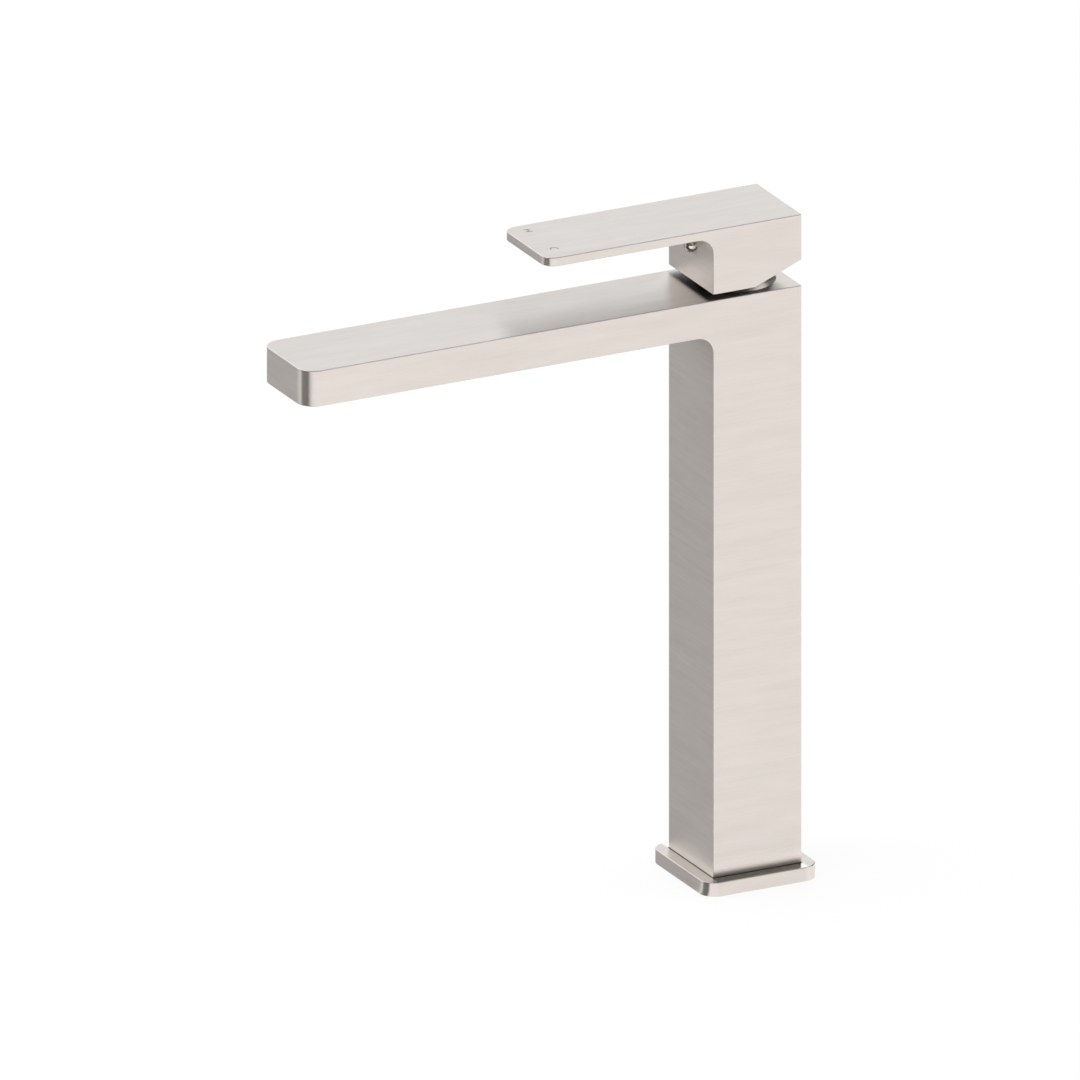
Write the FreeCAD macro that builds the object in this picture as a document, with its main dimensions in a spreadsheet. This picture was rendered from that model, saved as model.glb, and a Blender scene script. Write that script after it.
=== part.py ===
"""A tall single-lever basin mixer: square column, bar spout, flat lever and a ceramic-disc cartridge.

The origin is the column's axis at the deck. +Z is up, the spout and the lever point to -Y, and the hot
side is -X. Sizes are in millimetres.
"""

import FreeCAD
import Part

import os
import re

import Sketcher

# Every driving size, written once. The text says what it measures.
SIZES = {
    # Column and spout, one welded shell
    "column_width": (42.0, "square column, and the width of the spout and the handle"),
    "body_height": (268.0, "deck to the flat top of column and spout"),
    "body_wall": (2.0, "sheet of the column and the spout"),
    "spout_reach": (194.4, "column front to spout tip"),
    "spout_depth": (16.2, "spout top to underside"),
    "spout_tip_round": (8.0, "upright corners at the tip"),
    "spout_fillet": (7.5, "underside of the spout to the column front"),
    "edge_round": (0.35, "polished edges of the shell, the base plate and the handle"),
    # Base plate and gasket
    "base_margin": (6.0, "square base plate beyond the column, each side"),
    "base_corner_round": (7.0, "its upright corners"),
    "base_height": (6.3, "its thickness"),
    "gasket_radius": (24.0, "outer edge of the deck gasket"),
    "gasket_band": (5.5, "width of its ring"),
    "gasket_thickness": (2.0, "pressed flat"),
    # Foot insert, risers and their seals
    "foot_height": (20.0, "brass block inside the column's foot"),
    "spigot_radius": (16.5, "round foot that passes down through the base plate"),
    "stud_hole_radius": (2.5, "M6 tapping hole"),
    "stud_hole_depth": (18.0, "its depth"),
    "stud_spacing": (24.0, "front stud to back stud"),
    "inlet_radius": (4.5, "M10 x 1 tapping hole"),
    "inlet_depth": (12.0, "its depth"),
    "riser_spacing": (14.0, "hot riser to cold riser"),
    "riser_radius": (4.0, "outside of a riser pipe"),
    "riser_wall": (1.0, "wall of a riser pipe"),
    "riser_socket": (10.0, "length of a riser held in its socket"),
    "seal_cord": (1.5, "cord of the O-rings"),
    "fit_gap": (0.1, "gap between two fixed pieces that slide together"),
    # Valve seat
    "seat_depth": (50.0, "body top down to the underside of the valve seat"),
    "neck_radius": (15.0, "threaded neck through the body top"),
    "neck_rise": (2.0, "neck above the body top"),
    "nut_radius": (13.5, "thread of the cartridge nut"),
    "nut_height": (7.0, "cartridge nut, from the shoulder up to the body top"),
    "nut_notch": (2.4, "key notches in the nut"),
    "rise_slot_width": (16.0, "waterway that rises in front of the cartridge"),
    "rise_slot_depth": (2.4, "its depth, front to back"),
    "rise_slot_wall": (2.3, "brass left in front of it"),
    "groove_depth": (4.2, "groove in the seat's floor, from the mixed-water port to that slot"),
    "groove_width": (1.9, "its width"),
    # Spout tube and aerator
    "tube_radius": (3.3, "outside of the spout tube"),
    "tube_wall": (0.8, "its wall"),
    "tube_lift": (0.3, "spout tube above the aerator's washer"),
    "tube_seal_cord": (1.2, "cord of the spout tube's O-rings"),
    "outlet_inset": (15.4, "spout tip back to the outlet's axis"),
    "holder_radius": (12.0, "brass boss in the spout's underside"),
    "aerator_radius": (9.2, "M18.5 x 1 aerator thread"),
    "aerator_wall": (1.9, "rim of the aerator housing"),
    "aerator_height": (4.0, "aerator housing"),
    "aerator_recess": (0.3, "aerator above the underside of the spout"),
    "thread_gap": (0.05, "aerator to the thread in its boss"),
    "key_notch_radius": (0.6, "notches for the aerator key"),
    "key_notch_depth": (1.3, "their depth"),
    "washer_thickness": (0.8, "aerator washer"),
    "washer_band": (2.8, "width of its ring"),
    "chamber_radius": (7.5, "water chamber above the aerator"),
    "grid_hole_radius": (0.6, "holes of the aerator grid"),
    "grid_pitch": (2.7, "one ring of holes to the next"),
    # Cartridge
    "cartridge_radius": (12.5, "outside of the cartridge housing"),
    "cartridge_depth": (38.0, "body top down to the cartridge's seat"),
    "housing_wall": (1.3, "wall of the cartridge housing"),
    "housing_neck_radius": (11.0, "outside of the housing's neck"),
    "neck_height": (6.0, "housing neck above its shoulder"),
    "seal_thickness": (1.0, "flat three-port seals"),
    "base_thickness": (4.0, "cartridge base"),
    "disc_thickness": (4.0, "each ceramic disc"),
    "moving_disc_radius": (8.9, "upper ceramic disc"),
    "port_radius": (1.9, "hot and cold ports"),
    "port_spread": (4.0, "hot and cold ports, to each side"),
    "port_forward": (3.0, "hot and cold ports, to the front"),
    "outlet_port_radius": (2.2, "mixed-water port"),
    "outlet_port_back": (1.2, "mixed-water port, to the back"),
    "mixing_radius": (3.1, "recess in the upper disc"),
    "mixing_depth": (2.2, "its depth"),
    # Swivel, spindle and pivot
    "pivot_depth": (10.0, "body top down to the pivot"),
    "pin_radius": (1.5, "pivot pin"),
    "pin_recess": (0.3, "ends of the pin inside the swivel's outside"),
    "pin_gap": (0.05, "pin to its bore in the spindle"),
    "swivel_radius": (9.6, "swivel in the housing's neck"),
    "swivel_recess": (1.5, "swivel below the top of the housing's neck"),
    "swivel_depth": (16.0, "body top down to the swivel's underside"),
    "swivel_flange": (2.0, "flange that keeps the swivel in"),
    "slot_gap": (0.15, "stem to the swivel's slot, each side"),
    "slot_end_gap": (0.25, "tilting stem and knuckle to the slot's ends"),
    "guide_leg": (5.0, "swivel legs beside the carrier"),
    "stem_width": (8.0, "square stem"),
    "stem_rise": (24.0, "stem above the body top"),
    "knuckle_radius": (5.0, "rounded boss round the pivot"),
    "arm_radius": (1.8, "arm below the knuckle"),
    "arm_length": (10.0, "pivot to the ball"),
    "ball_radius": (3.3, "ball that moves the carrier"),
    "ball_gap": (0.15, "ball to its socket in the carrier"),
    "carrier_flats": (16.0, "carrier across its flats"),
    "lift_angle": (22.0, "full lift of the lever, in degrees"),
    "running_gap": (0.1, "gap of a turning or sliding fit"),
    # Dome ring
    "dome_radius": (17.4, "dome at the body top"),
    "dome_opening": (12.3, "opening for the stem"),
    # Handle
    "handle_gap": (2.6, "body top to the handle's underside"),
    "handle_height": (29.6, "handle's underside to its top"),
    "lever_thickness": (4.0, "lever plate"),
    "lever_length": (121.3, "handle's back to the lever's tip"),
    "lever_tip_round": (5.8, "upright corners at the lever's tip"),
    "lever_fillet": (7.0, "lever's underside to the block front"),
    "bevel_forward": (1.4, "underside bevel starts this far in front of the axis"),
    "handle_wall": (3.0, "wall round the square cavity over the dome"),
    "cavity_round": (2.0, "upright corners of that cavity"),
    "cavity_clearance": (1.9, "its ceiling above the dome"),
    "socket_gap": (0.1, "stem to its socket in the handle, each side"),
    "socket_end_gap": (0.3, "stem's top to the end of the socket"),
    "screw_drop": (9.8, "lever's underside down to the grub screw"),
    "screw_radius": (2.5, "M5 grub screw"),
    "screw_length": (8.0, "its length"),
    "hex_key": (2.5, "its hexagon socket, across flats"),
    "hex_key_depth": (4.0, "the socket's depth"),
    "button_radius": (3.2, "domed cap over the screw"),
    "button_shank": (4.0, "length of its shank"),
}

# Places worked out from the sizes. Heights are above the deck and depths are along Y.
PLACES = {
    "half_column": "column_width / 2",
    "half_inside": "half_column - body_wall",
    "half_block": "half_inside - fit_gap",
    "spout_tip": "-half_column - spout_reach",
    "spout_under": "body_height - spout_depth",
    "inner_top": "body_height - body_wall",
    "outlet_y": "spout_tip + outlet_inset",
    "half_base": "half_column + base_margin",
    "riser_x": "riser_spacing / 2",
    "riser_foot": "base_height + foot_height - riser_socket",
    "seat_bottom": "body_height - seat_depth",
    "riser_head": "seat_bottom + riser_socket",
    "seat_floor": "body_height - cartridge_depth",
    "seal_well_radius": "riser_radius + fit_gap + seal_cord",
    "shoulder": "body_height - nut_height",
    "cavity_radius": "cartridge_radius - housing_wall",
    "slot_front": "-half_block + rise_slot_wall",
    "slot_back": "slot_front + rise_slot_depth",
    "groove_floor": "seat_floor - groove_depth",
    "aerator_bottom": "spout_under + aerator_recess",
    "aerator_top": "aerator_bottom + aerator_height",
    "washer_top": "aerator_top + washer_thickness",
    "tube_height": "washer_top + tube_lift + tube_radius",
    "tube_top": "tube_height + tube_radius",
    "tube_front": "outlet_y + chamber_radius",
    "holder_top": "inner_top - fit_gap",
    "base_bottom": "seat_floor + seal_thickness",
    "base_top": "base_bottom + base_thickness",
    "fixed_bottom": "base_top + seal_thickness",
    "fixed_top": "fixed_bottom + disc_thickness",
    "moving_top": "fixed_top + disc_thickness",
    "pivot_height": "body_height - pivot_depth",
    "swivel_bottom": "body_height - swivel_depth",
    "flange_top": "swivel_bottom + swivel_flange",
    "swivel_top": "shoulder + neck_height - swivel_recess",
    "carrier_top": "swivel_bottom - running_gap",
    "half_slot": "stem_width / 2 + slot_gap",
    "ball_height": "pivot_height - arm_length",
    "disc_travel": "arm_length * lift_angle * pi / 180",
    "disc_y": "disc_travel / 2",
    "sweep_back": "(swivel_top - pivot_height) * tan(lift_angle) + stem_width / 2 / cos(lift_angle)",
    "dome_sphere": "sqrt(dome_radius ^ 2 + pivot_depth ^ 2)",
    "handle_bottom": "body_height + handle_gap",
    "handle_top": "handle_bottom + handle_height",
    "lever_under": "handle_top - lever_thickness",
    "lever_tip": "half_column - lever_length",
    "half_cavity": "half_column - handle_wall",
    "cavity_top": "pivot_height + dome_sphere + cavity_clearance",
    "half_socket": "stem_width / 2 + socket_gap",
    "stem_top": "body_height + stem_rise",
    "screw_height": "lever_under - screw_drop",
    "screw_front": "-stem_width / 2 - screw_length",
}

NEAR = 1e-3  # places or volumes this close together are the same
STRAIGHT = 0.999  # the part of a direction along an axis that counts as all of it

doc = FreeCAD.newDocument("basin_mixer")
sheet = doc.addObject("Spreadsheet::Sheet", "Sizes")


def formula(text):
    """The text with its places written out and its sizes read from the sheet."""

    def written_out(match):
        word = match.group(0)
        if word in PLACES:
            return f"({formula(PLACES[word])})"
        return f"Sizes.{word}" if word in SIZES else word

    return re.sub(r"[a-z_]+", written_out, text)


def bind(thing, **properties):
    """Bind properties to formulas. A double underscore stands for a dot."""
    for name, text in properties.items():
        thing.setExpression(name.replace("__", "."), formula(text))
    return thing


def fill_sheet():
    """One row for each size: what it measures, its number and its alias."""
    for row, (name, (number, meaning)) in enumerate(SIZES.items(), start=1):
        sheet.set(f"A{row}", meaning)
        sheet.set(f"B{row}", str(number))
        sheet.setAlias(f"B{row}", name)
    doc.recompute()


# ---- Part primitives, for pieces turned or sawn from plain stock ----


def place(thing, x, y, z):
    """Put a primitive's own origin at a point."""
    return bind(thing, Placement__Base__x=x, Placement__Base__y=y, Placement__Base__z=z)


def upright(name, radius, bottom, top, x="0", y="0"):
    """A round bar along Z."""
    bar = doc.addObject("Part::Cylinder", name)
    bind(bar, Radius=radius, Height=f"({top}) - ({bottom})")
    return place(bar, x, y, bottom)


def lengthwise(name, radius, back, front, z, x="0"):
    """A round bar along Y, from its back end to its front end."""
    bar = doc.addObject("Part::Cylinder", name)
    bar.Placement.Rotation = FreeCAD.Rotation(FreeCAD.Vector(1, 0, 0), 90)
    bind(bar, Radius=radius, Height=f"({back}) - ({front})")
    return place(bar, x, back, z)


def crosswise(name, radius, half_length, y, z):
    """A round bar along X, the same length to both sides."""
    bar = doc.addObject("Part::Cylinder", name)
    bar.Placement.Rotation = FreeCAD.Rotation(FreeCAD.Vector(0, 1, 0), 90)
    bind(bar, Radius=radius, Height=f"2 * ({half_length})")
    return place(bar, f"-({half_length})", y, z)


def block(name, x, y, z):
    """A box between two formulas on each axis."""
    box = doc.addObject("Part::Box", name)
    (left, right), (front, back), (bottom, top) = x, y, z
    bind(box, Length=f"({right}) - ({left})", Width=f"({back}) - ({front})", Height=f"({top}) - ({bottom})")
    return place(box, left, front, bottom)


def ball(name, radius, x, y, z):
    """A full ball."""
    sphere = doc.addObject("Part::Sphere", name)
    bind(sphere, Radius=radius)
    return place(sphere, x, y, z)


def seal_ring(name, bore, cord, x, y, z):
    """An O-ring lying flat, from the radius of its hole and the thickness of its cord."""
    ring = doc.addObject("Part::Torus", name)
    bind(ring, Radius1=f"({bore}) + {cord} / 2", Radius2=f"{cord} / 2")
    return place(ring, x, y, z)


def joined(name, *shapes):
    """Several primitives as one solid."""
    fuse = doc.addObject("Part::MultiFuse", name)
    fuse.Shapes = list(shapes)
    fuse.Refine = True
    return fuse


def cut(name, base, *tools):
    """A base with each tool taken out of it."""
    tool = tools[0] if len(tools) == 1 else joined(f"{name}_tools", *tools)
    result = doc.addObject("Part::Cut", name)
    result.Base = base
    result.Tool = tool
    result.Refine = True
    return result


# ---- PartDesign bodies, for pieces cast, moulded or machined in steps ----


def new_body(name):
    """An empty body that later features build up."""
    return doc.addObject("PartDesign::Body", name)


def sketch(body, name, plane="XY_Plane", offset="0"):
    """A sketch on one of the body's own planes, moved along that plane's normal."""
    drawing = body.newObject("Sketcher::SketchObject", f"{body.Name}_{name}")
    origin_plane = next(f for f in body.Origin.OriginFeatures if f.Role == plane)
    drawing.AttachmentSupport = (origin_plane, [""])
    drawing.MapMode = "FlatFace"
    bind(drawing, AttachmentOffset__Base__z=offset)
    return drawing


def pin_point(drawing, piece, point, x, y):
    """Hold a point of a sketch at two formulas."""
    for kind, text in (("DistanceX", x), ("DistanceY", y)):
        index = drawing.addConstraint(Sketcher.Constraint(kind, piece, point, 1.0))
        drawing.setExpression(f"Constraints[{index}]", formula(text))


def outline(drawing, *corners):
    """A closed outline with straight sides through the corners, each a pair of formulas."""
    count = len(corners)
    first = drawing.GeometryCount
    turn = FreeCAD.Rotation(FreeCAD.Vector(0, 0, 1), 360 / count)
    start = FreeCAD.Vector(1, 0, 0)
    for _ in corners:
        end = turn.multVec(start)
        drawing.addGeometry(Part.LineSegment(start, end), False)
        start = end
    for number, (x, y) in enumerate(corners):
        following = first + (number + 1) % count
        drawing.addConstraint(Sketcher.Constraint("Coincident", first + number, 2, following, 1))
        pin_point(drawing, first + number, 1, x, y)
    return drawing


def rectangle(drawing, left, right, low, high):
    """A rectangle between four formulas."""
    return outline(drawing, (left, low), (right, low), (right, high), (left, high))


def circle(drawing, radius, x="0", y="0"):
    """A circle with its centre at two formulas."""
    piece = drawing.addGeometry(Part.Circle(FreeCAD.Vector(0, 0, 0), FreeCAD.Vector(0, 0, 1), 1.0), False)
    index = drawing.addConstraint(Sketcher.Constraint("Radius", piece, 1.0))
    drawing.setExpression(f"Constraints[{index}]", formula(radius))
    pin_point(drawing, piece, 3, x, y)
    return drawing


def feature(body, kind, drawing, **bound):
    """A feature of a body made from a sketch."""
    step = body.newObject(f"PartDesign::{kind}", f"{drawing.Name}_{kind.lower()}")
    step.Profile = drawing
    bind(step, **bound)
    doc.recompute()
    return step


def pad(body, drawing, length, symmetric=False):
    """Material from a sketch along its normal, or to both sides of it."""
    step = feature(body, "Pad", drawing, Length=length)
    step.SideType = "Symmetric" if symmetric else "One side"
    doc.recompute()
    return step


def pocket(body, drawing, length):
    """Material taken away from a sketch downwards, against its normal."""
    before = body.Shape.Volume
    step = feature(body, "Pocket", drawing, Length=length)
    assert body.Shape.Volume < before - NEAR, f"{step.Name} takes nothing away"
    return step


def revolve(body, drawing):
    """A full turn of a sketch about the upright axis."""
    step = body.newObject("PartDesign::Revolution", f"{drawing.Name}_turned")
    step.Profile = drawing
    step.ReferenceAxis = (drawing, ["V_Axis"])
    step.Angle = 360
    doc.recompute()
    return step


def around(body, step, count):
    """Copies of a feature evenly round the upright axis."""
    pattern = body.newObject("PartDesign::PolarPattern", f"{step.Name}_round")
    pattern.Originals = [step]
    axis = next(f for f in body.Origin.OriginFeatures if f.Role == "Z_Axis")
    pattern.Axis = (axis, [""])
    pattern.Angle = 360
    pattern.Occurrences = count
    body.Tip = pattern
    doc.recompute()
    return pattern


def fillet(body, name, radius, wanted):
    """A fillet on those edges of the body for which wanted(edge) holds."""
    base = body.Tip
    edges = [f"Edge{n}" for n, edge in enumerate(base.Shape.Edges, start=1) if wanted(edge)]
    assert edges, f"{body.Name}_{name} has no edge to round"
    step = body.newObject("PartDesign::Fillet", f"{body.Name}_{name}")
    step.Base = (base, edges)
    bind(step, Radius=radius)
    doc.recompute()
    return step


def along(edge, axis):
    """Whether an edge is straight and runs along X, Y or Z."""
    if edge.Degenerated or edge.Curve.TypeId != "Part::GeomLine":
        return False
    return abs(getattr(edge.Curve.Direction, axis)) > STRAIGHT


def upright_at(y):
    """A test for the upright edges at one place along Y."""
    return lambda edge: along(edge, "z") and abs(edge.CenterOfMass.y - y) < NEAR


def inner_angle(height):
    """A test for the edge where an underside at a height meets the front of the column or block."""

    def at_angle(edge):
        middle = edge.CenterOfMass
        at_front = abs(middle.y - column_front) < NEAR
        return along(edge, "x") and at_front and abs(middle.z - height) < NEAR

    return at_angle


fill_sheet()

# Places that choose edges, as plain numbers from the sheet.
column_front = -sheet.column_width / 2
tip_front = column_front - sheet.spout_reach
spout_underside = sheet.body_height - sheet.spout_depth
lever_front = sheet.column_width / 2 - sheet.lever_length
lever_underside = sheet.body_height + sheet.handle_gap + sheet.handle_height - sheet.lever_thickness

# The shell: a square column and a bar spout, both open inside, with round holes for the cartridge's
# neck in the top and for the aerator in the underside.
spout_body = new_body("spout_body")
side = outline(
    sketch(spout_body, "side", "YZ_Plane"),
    ("spout_tip", "body_height"),
    ("half_column", "body_height"),
    ("half_column", "base_height"),
    ("-half_column", "base_height"),
    ("-half_column", "spout_under"),
    ("spout_tip", "spout_under"),
)
pad(spout_body, side, "column_width", symmetric=True)


def shell_outside(edge):
    """Whether an edge lies on the shell's outside, above its foot."""
    box = edge.BoundBox
    on_side = abs(abs(edge.CenterOfMass.x) + column_front) < NEAR
    on_top = box.ZMin > sheet.body_height - NEAR
    under_spout = abs(edge.CenterOfMass.z - spout_underside) < NEAR and box.YMax < column_front
    return box.ZMax > sheet.base_height + NEAR and (on_side or on_top or under_spout)


fillet(spout_body, "underside", "spout_fillet", inner_angle(spout_underside))
column_inside = sketch(spout_body, "column_inside", offset="inner_top")
rectangle(column_inside, "-half_inside", "half_inside", "-half_inside", "half_inside")
pocket(spout_body, column_inside, "inner_top - base_height")
spout_inside = sketch(spout_body, "spout_inside", offset="inner_top")
rectangle(spout_inside, "-half_inside", "half_inside", "spout_tip + body_wall", "0")
pocket(spout_body, spout_inside, "spout_depth - 2 * body_wall")
hollow_tip = upright_at(tip_front + sheet.body_wall)
fillet(spout_body, "hollow_tip", "spout_tip_round - body_wall", hollow_tip)
fillet(spout_body, "tip", "spout_tip_round", upright_at(tip_front))
fillet(spout_body, "edges", "edge_round", shell_outside)
neck_hole = circle(sketch(spout_body, "neck_hole", offset="body_height"), "neck_radius + fit_gap")
pocket(spout_body, neck_hole, "body_wall")
outlet_hole = sketch(spout_body, "outlet_hole", offset="spout_under + body_wall")
circle(outlet_hole, "holder_radius", "0", "outlet_y")
pocket(spout_body, outlet_hole, "body_wall")

# The base plate, with a hole for the foot's spigot and a round recess for the gasket.
base_plate = new_body("base_plate")
square = sketch(base_plate, "square")
rectangle(square, "-half_base", "half_base", "-half_base", "half_base")
pad(base_plate, square, "base_height")
fillet(base_plate, "corners", "base_corner_round", lambda edge: along(edge, "z"))
plate_top = sheet.base_height - NEAR
fillet(base_plate, "edges", "edge_round", lambda edge: edge.BoundBox.ZMin > plate_top)
spigot_hole = circle(sketch(base_plate, "spigot_hole", offset="base_height"), "spigot_radius + fit_gap")
pocket(base_plate, spigot_hole, "base_height")
recess = circle(sketch(base_plate, "recess", offset="gasket_thickness"), "gasket_radius + fit_gap")
pocket(base_plate, recess, "gasket_thickness")

deck_gasket = cut(
    "deck_gasket",
    upright("gasket_outside", "gasket_radius", "0", "gasket_thickness"),
    upright("gasket_inside", "gasket_radius - gasket_band", "0", "gasket_thickness"),
)

# The foot insert: a brass block in the column with a spigot through the base plate. Two blind stud
# holes and two inlets are tapped from below, and a riser stands in a socket over each inlet.
foot_insert = new_body("foot_insert")
spigot = circle(sketch(foot_insert, "spigot"), "spigot_radius")
pad(foot_insert, spigot, "base_height")
foot_block = sketch(foot_insert, "block", offset="base_height")
rectangle(foot_block, "-half_block", "half_block", "-half_block", "half_block")
pad(foot_insert, foot_block, "foot_height")
stud_holes = sketch(foot_insert, "stud_holes", offset="stud_hole_depth")
circle(stud_holes, "stud_hole_radius", "0", "stud_spacing / 2")
circle(stud_holes, "stud_hole_radius", "0", "-stud_spacing / 2")
pocket(foot_insert, stud_holes, "stud_hole_depth")


def riser_pair(drawing, radius):
    """A circle at each riser's place."""
    circle(drawing, radius, "-riser_x", "-port_forward")
    return circle(drawing, radius, "riser_x", "-port_forward")


inlets = riser_pair(sketch(foot_insert, "inlets", offset="inlet_depth"), "inlet_radius")
pocket(foot_insert, inlets, "inlet_depth")
through = riser_pair(sketch(foot_insert, "through", offset="riser_foot"), "riser_radius - riser_wall")
pocket(foot_insert, through, "riser_foot")
foot_sockets = sketch(foot_insert, "sockets", offset="base_height + foot_height")
pocket(foot_insert, riser_pair(foot_sockets, "riser_radius + fit_gap"), "riser_socket")
foot_wells = sketch(foot_insert, "wells", offset="base_height + foot_height")
pocket(foot_insert, riser_pair(foot_wells, "seal_well_radius"), "seal_cord")


def riser(name, x):
    """A pipe from its socket in the foot to its socket in the valve seat."""
    run = ("riser_foot", "riser_head", x, "-port_forward")
    return cut(
        name,
        upright(f"{name}_outside", "riser_radius", *run),
        upright(f"{name}_inside", "riser_radius - riser_wall", *run),
    )


hot_riser = riser("hot_riser", "-riser_x")
cold_riser = riser("cold_riser", "riser_x")

riser_seals = doc.addObject("Part::Compound", "riser_seals")
riser_seals.Links = [
    seal_ring(f"seal_{side_name}_{end_name}", "riser_radius", "seal_cord", x, "-port_forward", z)
    for side_name, x in (("hot", "-riser_x"), ("cold", "riser_x"))
    for end_name, z in (
        ("foot", "base_height + foot_height - seal_cord / 2"),
        ("head", "seat_bottom + seal_cord / 2"),
    )
]

# The valve seat: a brass block under the body's top, with a threaded neck up through it. The risers
# come in from below. Mixed water runs forward in a groove in the floor and up a slot to the spout tube.
valve_seat = new_body("valve_seat")
seat_block = sketch(valve_seat, "block", offset="seat_bottom")
rectangle(seat_block, "-half_block", "half_block", "-half_block", "half_block")
pad(valve_seat, seat_block, "inner_top - seat_bottom")
neck = circle(sketch(valve_seat, "neck", offset="inner_top"), "neck_radius")
pad(valve_seat, neck, "body_wall + neck_rise")
thread = circle(sketch(valve_seat, "thread", offset="body_height + neck_rise"), "nut_radius")
pocket(valve_seat, thread, "neck_rise + nut_height")
seat_bore = circle(sketch(valve_seat, "bore", offset="shoulder"), "cartridge_radius + fit_gap")
pocket(valve_seat, seat_bore, "shoulder - seat_floor")
seat_sockets = riser_pair(sketch(valve_seat, "sockets", offset="riser_head"), "riser_radius + fit_gap")
pocket(valve_seat, seat_sockets, "riser_socket")
seat_wells = riser_pair(sketch(valve_seat, "wells", offset="seat_bottom + seal_cord"), "seal_well_radius")
pocket(valve_seat, seat_wells, "seal_cord")
seat_ports = sketch(valve_seat, "ports", offset="seat_floor")
circle(seat_ports, "port_radius", "-port_spread", "-port_forward")
circle(seat_ports, "port_radius", "port_spread", "-port_forward")
pocket(valve_seat, seat_ports, "seat_floor - riser_head")
outlet_drop = circle(
    sketch(valve_seat, "outlet_drop", offset="seat_floor"), "outlet_port_radius", "0", "outlet_port_back"
)
pocket(valve_seat, outlet_drop, "groove_depth")
groove = sketch(valve_seat, "groove", offset="seat_floor")
rectangle(groove, "-groove_width / 2", "groove_width / 2", "slot_front", "outlet_port_back")
pocket(valve_seat, groove, "groove_depth")
rise_slot = sketch(valve_seat, "rise_slot", offset="tube_top")
rectangle(rise_slot, "-rise_slot_width / 2", "rise_slot_width / 2", "slot_front", "slot_back")
pocket(valve_seat, rise_slot, "tube_top - groove_floor")
tube_socket = sketch(valve_seat, "tube_socket", "XZ_Plane", offset="half_block")
circle(tube_socket, "tube_radius + fit_gap", "0", "tube_height")
pocket(valve_seat, tube_socket, "rise_slot_wall")
tube_well = sketch(valve_seat, "tube_well", "XZ_Plane", offset="half_block")
circle(tube_well, "tube_radius + tube_seal_cord", "0", "tube_height")
pocket(valve_seat, tube_well, "tube_seal_cord")

# The spout tube and its two O-rings.
spout_tube = cut(
    "spout_tube",
    lengthwise("tube_outside", "tube_radius", "slot_front", "tube_front", "tube_height"),
    lengthwise("tube_inside", "tube_radius - tube_wall", "slot_front", "tube_front", "tube_height"),
)


def tube_seal(name, y):
    """An O-ring round the spout tube."""
    ring = seal_ring(name, "tube_radius", "tube_seal_cord", "0", y, "tube_height")
    ring.Placement.Rotation = FreeCAD.Rotation(FreeCAD.Vector(1, 0, 0), 90)
    return ring


spout_tube_seals = doc.addObject("Part::Compound", "spout_tube_seals")
spout_tube_seals.Links = [
    tube_seal("tube_seal_seat", "-half_block + tube_seal_cord / 2"),
    tube_seal("tube_seal_holder", "outlet_y + holder_radius + tube_seal_cord / 2"),
]

# The aerator: a brass boss soldered in the spout, and a screwed housing with its grid and washer.
def at_outlet(name, radius, bottom, top, x="0", y="0"):
    """A round bar along Z, placed from the outlet's axis."""
    return upright(name, radius, bottom, top, x, f"outlet_y + {y}")


def ring_places(count, reach):
    """Places evenly round a circle, each a pair of formulas."""
    angles = [f"{number} * 360 / {count}" for number in range(count)]
    return [(f"{reach} * cos({angle})", f"{reach} * sin({angle})") for angle in angles]


aerator_holder = cut(
    "aerator_holder",
    at_outlet("holder_outside", "holder_radius", "spout_under", "holder_top"),
    at_outlet("holder_thread", "aerator_radius + thread_gap", "spout_under", "washer_top"),
    at_outlet("holder_chamber", "chamber_radius", "washer_top", "tube_top"),
    lengthwise(
        "holder_port", "tube_radius + fit_gap", "outlet_y + holder_radius", "outlet_y", "tube_height"
    ),
)
KEY_NOTCHES = 6
notch_run = ("aerator_bottom", "aerator_bottom + key_notch_depth")
aerator_housing = cut(
    "aerator_housing",
    at_outlet("housing_rim", "aerator_radius", "aerator_bottom", "aerator_top"),
    at_outlet("housing_hole", "aerator_radius - aerator_wall", "aerator_bottom", "aerator_top"),
    *[
        at_outlet(f"key_notch_{number}", "key_notch_radius", *notch_run, x, y)
        for number, (x, y) in enumerate(ring_places(KEY_NOTCHES, "aerator_radius"))
    ],
)
INNER_RING_HOLES = 6
OUTER_RING_HOLES = 12
grid_run = ("aerator_bottom + aerator_recess", "aerator_top")
grid_places = [("0", "0")]
grid_places += ring_places(INNER_RING_HOLES, "grid_pitch")
grid_places += ring_places(OUTER_RING_HOLES, "2 * grid_pitch")
aerator_grid = cut(
    "aerator_grid",
    at_outlet("grid_disc", "aerator_radius - aerator_wall", *grid_run),
    *[
        at_outlet(f"grid_hole_{number}", "grid_hole_radius", *grid_run, x, y)
        for number, (x, y) in enumerate(grid_places)
    ],
)
aerator_washer = cut(
    "aerator_washer",
    at_outlet("washer_outside", "aerator_radius", "aerator_top", "washer_top"),
    at_outlet("washer_hole", "aerator_radius - washer_band", "aerator_top", "washer_top"),
)

# The cartridge's fixed pieces, from the housing down to the seal on the valve seat's floor.
cartridge_housing = new_body("cartridge_housing")
housing_side = outline(
    sketch(cartridge_housing, "side", "XZ_Plane"),
    ("cavity_radius", "seat_floor"),
    ("cartridge_radius", "seat_floor"),
    ("cartridge_radius", "shoulder"),
    ("housing_neck_radius", "shoulder"),
    ("housing_neck_radius", "shoulder + neck_height"),
    ("swivel_radius + running_gap", "shoulder + neck_height"),
    ("swivel_radius + running_gap", "flange_top + running_gap"),
    ("cavity_radius", "flange_top + running_gap"),
)
revolve(cartridge_housing, housing_side)

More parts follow.
